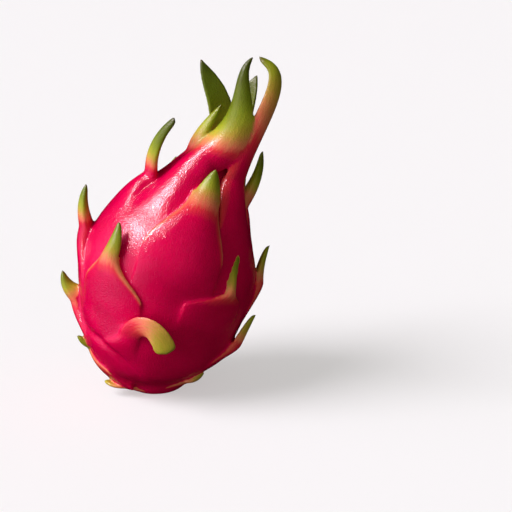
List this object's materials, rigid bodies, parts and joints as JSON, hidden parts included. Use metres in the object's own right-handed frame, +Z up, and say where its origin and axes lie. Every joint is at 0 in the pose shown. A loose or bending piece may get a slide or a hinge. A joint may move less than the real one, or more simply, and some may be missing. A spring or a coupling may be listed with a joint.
{
  "type": "dragon fruit",
  "caption": "Whole ripe fruit, standing upright: a smooth oval body with raised pointed scales and a leaning crown of long curved leaf tips.",
  "frame": {"origin": "middle of the small flat spot at the stem end that the fruit stands on", "axes": "+Z up, from the stem end towards the crown; the crown leans towards +X; -Y is the front, which the picture shows"},
  "size_m": [0.111, 0.0988, 0.17],
  "materials": {
    "skin": "waxy magenta skin, turning through orange to green at the scale tips"
  },
  "bodies": {
    "root": {"dragon_fruit": "skin"}
  },
  "joints": []
}
